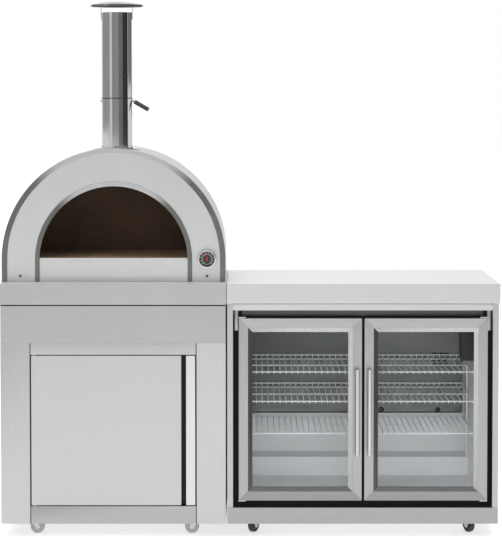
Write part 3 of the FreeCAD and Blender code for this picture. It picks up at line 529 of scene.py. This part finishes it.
for name, inner, outer, half, step in (("dial_marks", 0.0194, 0.0255, 0.0007, 30),
                                       ("dial_strokes", 0.0125, 0.0163, 0.0004, 27)):
    stroke = block(-half, half, -ink, 0.0, inner, outer, 0.00004)
    stroke_spots = [(printed, (0, radians(angle), 0)) for angle in range(-135, 136, step)]
    set_copies(name, stroke, stroke_spots, dial_print, "cabinet")

# Flue: a mirror-polished stainless pipe on a flanged collar, with a rain cap on struts. Two lengths of
# pipe lap above the damper, whose rod carries a moulded grip.


def mirror_steel(name, low, high, rough):
    finish, shader, place = new_finish(name, metallic=1.0)
    polish = streaks(place, (300.0, 300.0, 4.0), 2.0)
    haze = streaks(place, (8.0, 8.0, 8.0), 4.0)
    feed(shader, base_color=between(0.6 * polish + 0.4 * haze, low, high),
         roughness=rough + 0.05 * haze + 0.04 * polish)
    return finish


mirror = mirror_steel("mirror_steel", (0.38, 0.4, 0.405), (0.74, 0.75, 0.745), 0.04)
cap_steel = mirror_steel("cap_steel", (0.15, 0.14, 0.138), (0.36, 0.34, 0.335), 0.08)
damper_steel = hardware_finish("damper_steel", (0.4, 0.4, 0.39), (0.56, 0.56, 0.55), 0.22)
# Painted shade: the lap ring is near black, standing for the shadow line where the upper pipe length laps the
# lower one.
lap_shadow_line = hardware_finish("lap_shadow_line", (0.03, 0.03, 0.03), (0.09, 0.09, 0.09), 0.3)
grip_black = moulded_plastic("grip_black", (0.012, 0.011, 0.011), (0.045, 0.042, 0.04), 0.28)
dress("flue_collar", mirror, 0.0004)
dress("chimney_pipe", mirror, 0.0004)
dress("chimney_cap", cap_steel, 0.0005)
dress("damper_flap", damper_steel, 0.0003)
dress("damper_grip", grip_black, 0.0005)
pipe_low, pipe_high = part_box("chimney_pipe")
lap_spot = (pipe_low + pipe_high) / 2
lap_spot.z = 1.534
lap_gap = 0.00005
lap_stand = 0.0006
lap_rim = 0.0026
lap_height = 0.0034
pipe_radius = (pipe_high.x - pipe_low.x) / 2
lap_inner = pipe_radius + lap_gap
lap_outer = pipe_radius + lap_stand
lap = [(lap_inner, 0.0), (lap_outer, 0.0), (lap_outer, lap_rim), (lap_inner, lap_height), (lap_inner, 0.0)]
set_copies("pipe_lap", turned(lap, 96), [(lap_spot, (pi / 2, 0, 0))], lap_shadow_line, "cabinet")

# Screws: steel pan heads that hold the oven's face and back sheet, and the back panels of both
# modules. The two in the face are blackened.


def pan_head(radius, height):
    return turned([(0.0, -height), (radius * 0.55, -height), (radius * 0.85, -height * 0.75),
                   (radius, -height * 0.3), (radius, 0.0), (0.0, 0.0)], 16)


screw_steel = hardware_finish("screw_steel", (0.36, 0.36, 0.36), (0.6, 0.6, 0.59), 0.22)
dark_screw = hardware_finish("dark_screw", (0.1, 0.1, 0.1), (0.18, 0.18, 0.18), 0.2)
face_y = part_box("oven_front_panel")[0].y
face_reach = 0.328
face_height = 0.912
back_turn = (0, 0, pi)
back_reach = arch_radius - 0.016
side_gap = 0.018
front_spots = [(Vector((arch_x + side * face_reach, face_y, face_height)), unturned) for side in (-1, 1)]
back_spots = []
for angle in (pi * step / 8 for step in range(9)):
    place = (arch_x + back_reach * cos(angle), shell_high.y, arch_z + back_reach * sin(angle))
    back_spots.append((Vector(place), back_turn))
for node in ("cart_wrapper", "fridge_wrapper"):
    low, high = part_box(node)
    for x in (low.x + side_gap, (low.x + high.x) / 2, high.x - side_gap):
        for z in (low.z + 0.02, low.z + 0.28, low.z + 0.52, high.z - 0.09):
            back_spots.append((Vector((x, high.y, z)), back_turn))
set_copies("front_screws", pan_head(0.005, 0.003), front_spots, dark_screw, "cabinet")
set_copies("back_screws", pan_head(0.0042, 0.0022), back_spots, screw_steel, "cabinet")

# Fridge carcass: a foamed steel case with a black powder coat on a plinth, and behind it the
# condensing unit, which breathes through pressed louvres in the back panel.


def powder_coat():
    finish, shader, place = new_finish("powder_coat", specular_ior_level=0.25)
    peel = streaks(place, (700.0, 700.0, 700.0), 2.0)
    dust = streaks(place, (4.0, 4.0, 9.0), 5.0)
    feed(shader, base_color=between(dust, (0.004, 0.004, 0.004), (0.011, 0.011, 0.012)),
         roughness=0.45 + 0.25 * dust, normal=bumped(peel, 0.0004, 0.25))
    return finish


def louvre(width, height, depth):
    """A pressed louvre: a hood that swells from the sheet to a lower lip."""
    across = 13
    up = 6
    points = []
    for v in range(up + 1):
        for u in range(across):
            along = 2 * u / (across - 1) - 1
            swell = (1 - along**4) * (1 - (v / up) ** 2) ** 0.5
            points.append((along * width / 2, -depth * swell - 0.0002, height * (v / up - 0.5)))
    faces = [(v * across + u, v * across + u + 1, (v + 1) * across + u + 1, (v + 1) * across + u)
             for v in range(up) for u in range(across - 1)]
    mesh = bpy.data.meshes.new("louvre")
    mesh.from_pydata(points, [], faces)
    work = bmesh.new()
    work.from_mesh(mesh)
    bmesh.ops.recalc_face_normals(work, faces=work.faces)
    bmesh.ops.solidify(work, geom=work.faces[:], thickness=0.0008)
    return smoothed(work, mesh, 40)


black_coat = powder_coat()
dress("fridge_case", black_coat, 0.0015)
dress("fridge_plinth", black_coat, 0.001)
dress("condensing_unit", black_coat, 0.001)
dress("cord_gland", grip_black, 0.0005)
back_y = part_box("fridge_wrapper")[1].y
louvre_spots = [(Vector((x, back_y, z)), back_turn) for x in (0.27, 0.4, 0.53)
                for z in (0.13, 0.16, 0.19, 0.22, 0.25)]
set_copies("back_louvres", louvre(0.11, 0.016, 0.0028), louvre_spots, panel_steel, "cabinet")

# Inside of the fridge: a bright stainless liner stepped over the machine bay, a dark cover over the
# evaporator and its fan, with two adjusters, and a controller on the right wall.


def liner_finish():
    """Bright dull-rolled sheet, which scatters more light than the outside steel."""
    finish, shader, place = new_finish("liner_steel", metallic=0.2)
    strokes = streaks(place, upright_grain)
    cloud = streaks(place, (3.0, 3.0, 3.0), 3.0)
    feed(shader, base_color=between(0.6 * strokes + 0.4 * cloud, greyed(0.86), greyed(0.95)),
         roughness=0.42 + 0.2 * strokes, normal=brush_marks(strokes))
    return finish


cover_grey = brushed_sheet("cover_grey", 0.24, upright_grain, 0.4)
fin_alloy = hardware_finish("fin_alloy", (0.3, 0.3, 0.3), (0.5, 0.5, 0.5), 0.35)
display_glass = moulded_plastic("display_glass", (0.004, 0.005, 0.006), (0.012, 0.014, 0.016), 0.08)
dress("fridge_liner", liner_finish(), 0.001)
dress("evaporator_cover", cover_grey, 0.0008)
dress("evaporator_fan", grip_black, 0.0004)
dress("fan_motor", fin_alloy, 0.0005)
dress("controller_box", grip_black, 0.0015)
cover_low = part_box("evaporator_cover")[0]
knob_rise = 0.016
knob = turned([(0.0, -0.011), (0.006, -0.011), (0.0075, -0.0095), (0.008, -0.002), (0.0095, 0.0),
               (0.0, 0.0)], 28)
knob_spots = [(Vector((x, cover_low.y, cover_low.z + knob_rise)), unturned) for x in (0.49, 0.7)]
set_copies("air_adjusters", knob, knob_spots, grip_black, "cabinet")
box_low, box_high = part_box("controller_box")
window = block(0.0002, 0.0278, 0.0, 0.0012, 0.0002, 0.0298, 0.0003)
window_inset = Vector((0.04, -0.0002, 0.052))
window_corner = Vector((box_high.x, box_low.y, box_high.z))
window_spots = [(window_corner - window_inset, unturned)]
set_copies("controller_display", window, window_spots, display_glass, "cabinet")

# Shelves: chromed wires welded across round bars and bent over the front one and up to a back rail.
# They rest on the ledges of slotted standards.


def wire_tree():
    """Makes round wire along the edges of a mesh, with rounded corners."""
    tree = bpy.data.node_groups.new("wire", "GeometryNodeTree")
    for name, kind in (("Path", "Geometry"), ("Radius", "Float"), ("Bend", "Float"), ("Finish", "Material")):
        tree.interface.new_socket(name, in_out="INPUT", socket_type="NodeSocket" + kind)
    tree.interface.new_socket("Mesh", in_out="OUTPUT", socket_type="NodeSocketGeometry")
    given = tree.nodes.new("NodeGroupInput")
    path = tree.nodes.new("GeometryNodeMeshToCurve")
    corner = tree.nodes.new("GeometryNodeFilletCurve")
    outline = tree.nodes.new("GeometryNodeCurvePrimitiveCircle")
    drawn = tree.nodes.new("GeometryNodeCurveToMesh")
    real = tree.nodes.new("GeometryNodeRealizeInstances")
    coat = tree.nodes.new("GeometryNodeSetMaterial")
    result = tree.nodes.new("NodeGroupOutput")
    corner.mode = "POLY"
    corner.inputs["Count"].default_value = 4
    corner.inputs["Limit Radius"].default_value = True
    outline.inputs["Resolution"].default_value = 10
    drawn.inputs["Fill Caps"].default_value = True
    for start, end in ((given.outputs["Path"], path.inputs["Mesh"]),
                       (path.outputs["Curve"], corner.inputs["Curve"]),
                       (given.outputs["Bend"], corner.inputs["Radius"]),
                       (corner.outputs["Curve"], drawn.inputs["Curve"]),
                       (given.outputs["Radius"], outline.inputs["Radius"]),
                       (outline.outputs["Curve"], drawn.inputs["Profile Curve"]),
                       (drawn.outputs["Mesh"], real.inputs["Geometry"]),
                       (real.outputs["Geometry"], coat.inputs["Geometry"]),
                       (given.outputs["Finish"], coat.inputs["Material"]),
                       (coat.outputs["Geometry"], result.inputs["Mesh"])):
        tree.links.new(start, end)
    return tree


def path_mesh(paths):
    """Open lines of points, as the edges of one mesh."""
    mesh = bpy.data.meshes.new("paths")
    edges = []
    points = []
    for path in paths:
        edges += [(len(points) + i, len(points) + i + 1) for i in range(len(path) - 1)]
        points += path
    mesh.from_pydata(points, edges, [])
    return mesh


def bright_wire():
    """Chrome on drawn wire, dulled enough to catch the light from all round."""
    finish, shader, place = new_finish("bright_wire", metallic=0.15)
    haze = streaks(place, (40.0, 40.0, 40.0), 4.0)
    feed(shader, base_color=between(haze, greyed(0.9), greyed(0.98)), roughness=0.24 + 0.14 * haze)
    return finish


chrome = bright_wire()
wires = wire_tree()
shelves_low, shelves_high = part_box("wire_shelves")
wire_radius = 0.0016
side_radius = 0.0028
bar_radius = 0.0021
wire_gaps = 18
deck_lift = 0.00312
lip_drop = 0.009
rail_rise = 0.015
rail_overlap = 0.003
bar_inset = 0.007
post_room = 0.006
corner_bend = 0.005
shelf_front = shelves_low.y + wire_radius
shelf_back = shelves_high.y - wire_radius
rail_y = shelf_back - rail_overlap
middle_x = (shelves_low.x + shelves_high.x) / 2
deck_paths = []
bar_paths = []
side_paths = []
for level in (0.350, 0.464, 0.569):
    deck = level + deck_lift
    rail = level + rail_rise
    for left, right in ((shelves_low.x, middle_x - post_room), (middle_x + post_room, shelves_high.x)):
        pitch = (right - left - 6 * side_radius) / wire_gaps
        for number in range(wire_gaps + 1):
            x = left + 3 * side_radius + number * pitch
            deck_paths.append([(x, shelf_front, deck - lip_drop), (x, shelf_front, deck),
                               (x, shelf_back, deck), (x, shelf_back, rail + rail_overlap)])
        for y in (shelf_front + bar_inset, (shelf_front + shelf_back) / 2, shelf_back - bar_inset):
            bar_paths.append([(left + side_radius, y, level), (right - side_radius, y, level)])
        bar_paths.append([(left + 2 * side_radius, rail_y, rail), (right - 2 * side_radius, rail_y, rail)])
        for x in (left + side_radius, right - side_radius):
            side_paths.append([(x, shelf_front, level), (x, shelf_back, level)])
for name, paths, radius in (("shelf_wires", deck_paths, wire_radius), ("shelf_bars", bar_paths, bar_radius),
                            ("shelf_sides", side_paths, side_radius)):
    piece = grown(name, path_mesh(paths), wires, radius=radius, bend=corner_bend, finish=chrome)
    piece.data.shade_smooth()
    piece.data.set_sharp_from_angle(angle=radians(50))
    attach(piece, "cabinet")
    if name == "shelf_wires":
        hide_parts("wire_shelves")
dress("shelf_standards", chrome, 0.0006)

# Trim on the case's front: a brushed strip above the doors, painted near black as a painted
# dark reflection, and a bright plate beside the top corner of each door. All three are thin
# stainless sheet, fixed flat on the case.


def new_piece(name, mesh, finish, body):
    mesh.materials.append(finish)
    piece = bpy.data.objects.new(name, mesh)
    bpy.context.scene.collection.objects.link(piece)
    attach(piece, body)
    return piece


case_low, case_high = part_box("fridge_case")
trim_back = case_low.y - 0.00005
strip_front = case_low.y - 0.0006
plate_front = case_low.y - 0.0016
strip_left, strip_right = -0.026, 0.819
strip_bottom, strip_top = 0.774, case_high.z - 0.0005
plate_width = 0.012
plate_bottom, plate_top = 0.722, 0.796
# Painted reflection: the head strip's steel is toned near black for the dark reflection it shows.
head_dark_reflection = brushed_sheet("head_dark_reflection", 0.13, across_grain)
plate_steel = brushed_sheet("plate_steel", 0.62, upright_grain)
strip = block(strip_left, strip_right, strip_front, trim_back, strip_bottom, strip_top, 0.0002)
new_piece("case_head_strip", strip, head_dark_reflection, "cabinet")
for name, x in (("left_top_plate", -0.0525), ("right_top_plate", 0.834)):
    plate = block(x, x + plate_width, plate_front, trim_back, plate_bottom, plate_top, 0.0004)
    new_piece(name, plate, plate_steel, "cabinet")

# Glass doors: mitred stainless frames round sealed double glazing, held by a bevelled bead, on pivot
# pins in top and bottom brackets. A rubber gasket seals each against the case.

left_low, left_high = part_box("left_door_frame")
right_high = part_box("right_door_frame")[1]
doors_middle = (left_low.x + right_high.x) / 2
door_half_width = (left_high.x - left_low.x) / 2
door_offset = doors_middle - left_low.x - door_half_width
door_middle_z = (left_low.z + left_high.z) / 2
door_half_height = (left_high.z - left_low.z) / 2


def mitred_frame():
    """Brushed steel whose grain follows each frame member, with a fine dark line along the mitres; the bottom
    member and the uprights are painted darker than the top, as painted shade.
    """
    finish, shader, place = new_finish("mitred_frame", metallic=1.0)
    across = abs(coordinate(place, "X") - doors_middle)
    rise = coordinate(place, "Z")
    past_side = abs(across - door_offset) - door_half_width
    past_top = abs(rise - door_middle_z) - door_half_height
    lead = past_side - past_top
    upright = lead > 0.0
    shaded_bottom = rise < door_middle_z
    mitre = abs(lead) < 0.0006
    grain = upright * streaks(place, upright_grain) + (1 - upright) * streaks(place, across_grain)
    shade = 0.7 * grain + 0.3 * streaks(place, broad_cloud, 2.0)
    tone = between(shade, greyed(0.335), greyed(0.435))
    # Painted shade: the bottom member and the uprights get darker copies of the steel than the top member.
    for member, low, high in ((shaded_bottom, 0.21, 0.29), (upright, 0.28, 0.38)):
        tone = between(member, tone, between(shade, greyed(low), greyed(high)))
    feed(shader, base_color=between(0.75 * mitre, tone, (0.05, 0.05, 0.05)), roughness=0.24 + 0.14 * grain,
         normal=brush_marks(grain))
    return finish


def bead_finish():
    """Polished bevel between frame and glass: bright at the top, in the shade at the left and below."""
    finish, shader, place = new_finish("bead_steel", metallic=1.0)
    wipe = streaks(place, (70.0, 70.0, 70.0), 4.0)
    facing = Strand(place.socket.node.outputs["Normal"])
    tone = between(wipe, greyed(0.34), greyed(0.42))
    for axis, shade in (("X", 0.045), ("Z", 0.19)):
        leaning = place.math("MULTIPLY", coordinate(facing, axis), 8.0, clamp=True)
        tone = between(leaning, tone, (shade, shade, shade))
    feed(shader, base_color=tone, roughness=0.24 + 0.1 * wipe)
    return finish


def rubber():
    finish, shader, place = new_finish("gasket_rubber")
    bloom = streaks(place, (30.0, 30.0, 30.0), 6.0)
    feed(shader, base_color=between(bloom, (0.012, 0.012, 0.012), (0.035, 0.035, 0.034)),
         roughness=0.6 + 0.25 * bloom)
    return finish


def frame_ring(low, high, section, edge, crease):
    """A rectangular ring that faces the front, from a closed section of (inset, y) points."""
    work = bmesh.new()
    loops = []
    for inset, y in section:
        corners = ((low.x + inset, low.z + inset), (high.x - inset, low.z + inset),
                   (high.x - inset, high.z - inset), (low.x + inset, high.z - inset))
        loops.append([work.verts.new((x, y, z)) for x, z in corners])
    for one, two in zip(loops, loops[1:] + loops[:1]):
        for i in range(4):
            j = (i + 1) % 4
            work.faces.new((one[i], one[j], two[j], two[i]))
    bmesh.ops.recalc_face_normals(work, faces=work.faces)
    bmesh.ops.bevel(work, geom=work.edges[:], offset=edge, segments=2, profile=0.5, affect="EDGES")
    return smoothed(work, bpy.data.meshes.new("frame_ring"), crease)


frame_steel = mitred_frame()
gasket_rubber = rubber()
door_glass = see_through("door_glass", 0.8)
bead_steel = bead_finish()
spacer_dark = hardware_finish("spacer_dark", (0.04, 0.04, 0.04), (0.08, 0.08, 0.08), 0.4)
handle_steel = mirror_steel("handle_steel", (0.36, 0.36, 0.36), (0.54, 0.54, 0.53), 0.16)
hinge_steel = hardware_finish("hinge_steel", (0.44, 0.44, 0.43), (0.62, 0.62, 0.61), 0.2)
pane = 0.004
pane_edge = 0.0005
seal = 0.0004
spacer_width = 0.026
bead_outer = 0.0321
bead_inner = bead_outer + 0.0155
bead_set_back = 0.0005
bead_lip = 0.0006
bead_clearance = 0.0001
dress("door_hinge_brackets", hinge_steel, 0.0005)
for side in ("left", "right"):
    body = side + "_door"
    dress(f"{side}_door_frame", frame_steel, 0.0008)
    dress(f"{side}_door_gasket", gasket_rubber, 0.001)
    dress(f"{side}_door_handle", handle_steel, 0.0006)
    low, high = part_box(f"{side}_door_glass")
    front_glass = block(low.x, high.x, low.y, low.y + pane, low.z, high.z, pane_edge)
    front_pane = new_piece(f"{side}_pane_front", front_glass, door_glass, body)
    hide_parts(f"{side}_door_glass")
    back_glass = block(low.x, high.x, high.y - pane, high.y, low.z, high.z, pane_edge)
    new_piece(f"{side}_pane_back", back_glass, door_glass, body)
    spacer_front = low.y + pane + seal
    spacer_back = high.y - pane - seal
    spacer = frame_ring(low, high, [(0.0, spacer_front), (spacer_width, spacer_front),
                                    (spacer_width, spacer_back), (0.0, spacer_back)], 0.0006, 50)
    new_piece(f"{side}_pane_spacer", spacer, spacer_dark, body)
    outer_low, outer_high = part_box(f"{side}_door_frame")
    bead_back = low.y - bead_clearance
    bead = frame_ring(outer_low, outer_high, [(bead_outer, outer_low.y + bead_set_back),
                                              (bead_inner, bead_back - bead_lip), (bead_inner, bead_back),
                                              (bead_outer, bead_back)], 0.0002, 8)
    new_piece(f"{side}_pane_bead", bead, bead_steel, body)

# Stage: a pale floor, cards behind the camera for the steel to mirror, and soft lamps. Camera, mirror
# and glass rays see the floor and the backdrop white.


def stage_plane(name, corners, tone, glow):
    """A flat stage piece: returns its object, its shader and object coordinates."""
    mesh = bpy.data.meshes.new(name)
    mesh.from_pydata(corners, [], [(0, 1, 2, 3)])
    colour = (tone, tone, tone, 1.0)
    finish, shader, place = new_finish(name, base_color=colour, roughness=0.8, emission_strength=glow,
                                       emission_color=colour)
    mesh.materials.append(finish)
    plane = bpy.data.objects.new(name, mesh)
    bpy.context.scene.collection.objects.link(plane)
    return plane, shader, place


def upright_card(name, start, end, low, high, tone):
    """A glowing card that only mirrors see, upright on the line between two places on the floor."""
    corners = [(*start, low), (*end, low), (*end, high), (*start, high)]
    card, shader = stage_plane(name, corners, tone, 1.0)[:2]
    shader.inputs["Base Color"].default_value = (0.0, 0.0, 0.0, 1.0)
    card.visible_camera = False
    card.visible_diffuse = False
    card.visible_shadow = False
    card.visible_transmission = False


def soft_lamp(name, place, aim, size, power):
    lamp = bpy.data.lights.new(name, "AREA")
    lamp.shape = "RECTANGLE"
    lamp.size, lamp.size_y = size
    lamp.energy = power
    made = bpy.data.objects.new(name, lamp)
    made.location = place
    made.rotation_euler = (Vector(aim) - Vector(place)).to_track_quat("-Z", "Y").to_euler()
    made.visible_glossy = False
    bpy.context.scene.collection.objects.link(made)


def white_rays(strand):
    """1 for rays from the camera, a mirror or glass, and 0 for the soft light."""
    seen = strand.math("MAXIMUM", ray(strand, "Camera"), ray(strand, "Glossy"))
    return strand.math("MAXIMUM", seen, ray(strand, "Transmission"))


far = 40.0
soft_level = 0.62
floor_corners = [(-far, -far, 0), (far, -far, 0), (far, far, 0), (-far, far, 0)]
floor_shader, floor_place = stage_plane("floor", floor_corners, 0.86, 0.5)[1:]
feed(floor_shader, emission_color=between(white_rays(floor_place), (0.0, 0.0, 0.0), (1.0, 1.0, 1.0)))
upright_card("wall_card", (-16, -8.5), (16, -8.5), 0.0, 7.0, 0.85)
upright_card("front_card", (-6.0, -7.9), (1.94, -7.9), 1.2, 4.5, 0.33)
upright_card("dim_card", (0.98, -4.78), (3.18, -3.41), 1.15, 4.0, 0.17)
upright_card("dark_card", (3.18, -3.41), (4.52, 0.17), 1.15, 4.0, 0.02)
upright_card("back_card", (4.5, 0.44), (2.02, 4.33), 1.6, 4.0, 0.2)
upright_card("grey_card", (-3.83, -2.53), (-3.5, 2.92), 1.36, 4.0, 0.4)
soft_lamp("overhead", (0.0, -1.0, 4.5), (0.0, 0.0, 0.8), (5.0, 4.0), 120.0)
soft_lamp("fill", (-2.5, -5.0, 2.6), (0.0, 0.0, 0.7), (3.0, 3.0), 60.0)
soft_lamp("low_fill", (0.4, -4.5, 0.6), (0.4, 0.0, 0.25), (2.0, 0.8), 44.0)
world = bpy.data.worlds.new("studio")
bpy.context.scene.world = world
world.use_nodes = True
sky = world.node_tree.nodes["Background"]
sky.inputs["Color"].default_value = (1.0, 1.0, 1.0, 1.0)
sky_level = soft_level + (1 - soft_level) * white_rays(Strand(sky.outputs[0]))
world.node_tree.links.new(sky_level.socket, sky.inputs["Strength"])

# Camera: far off with a long lens, a little above the counters, as the photograph was taken. Its
# shift puts the object where it stands in the photograph's frame.

lens = bpy.data.cameras.new("camera")
lens.sensor_width = 36.0
lens.lens = 149.09
lens.shift_y = -0.12
camera = bpy.data.objects.new("camera", lens)
camera.location = (0.0049, -8.0, 1.5605)
camera.rotation_euler = (pi / 2 - radians(2.8995), 0.0, 0.0)
bpy.context.scene.collection.objects.link(camera)
bpy.context.scene.camera = camera
bpy.context.scene.view_settings.view_transform = "Standard"
